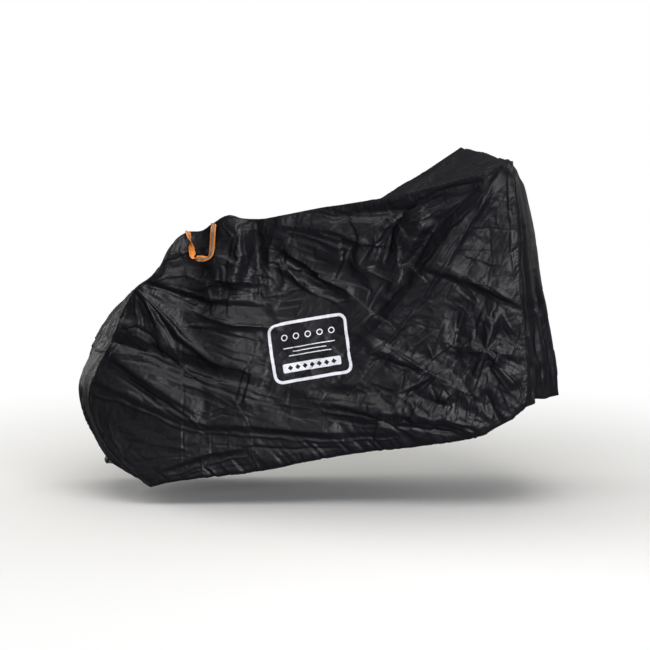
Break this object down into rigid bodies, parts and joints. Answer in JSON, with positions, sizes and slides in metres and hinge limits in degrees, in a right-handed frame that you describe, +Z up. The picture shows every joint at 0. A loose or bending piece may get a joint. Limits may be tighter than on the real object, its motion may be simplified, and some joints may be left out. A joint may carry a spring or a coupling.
{
  "type": "bicycle cover",
  "caption": "Fitted rain cover for bicycles, draped over them: side panels and a centre strip of black taffeta, open below, with an orange pull loop.",
  "frame": {"origin": "on the cover's middle line, just under its top, 0.925 m above the ground that the bicycles stand on", "axes": "+X toward the bicycles' front, +Y away from the side with the pull loop, +Z up"},
  "size_m": [1.7213, 1.0398, 1.176],
  "materials": {
    "near_taffeta": "coated taffeta, soft sheen",
    "far_taffeta": "coated taffeta, soft sheen",
    "strip_taffeta": "coated taffeta, soft sheen",
    "loop_webbing": "woven webbing, matt"
  },
  "bodies": {
    "root": {"near_side_panel": "near_taffeta", "far_side_panel": "far_taffeta", "centre_strip": "strip_taffeta", "pull_loop": "loop_webbing"}
  },
  "joints": []
}
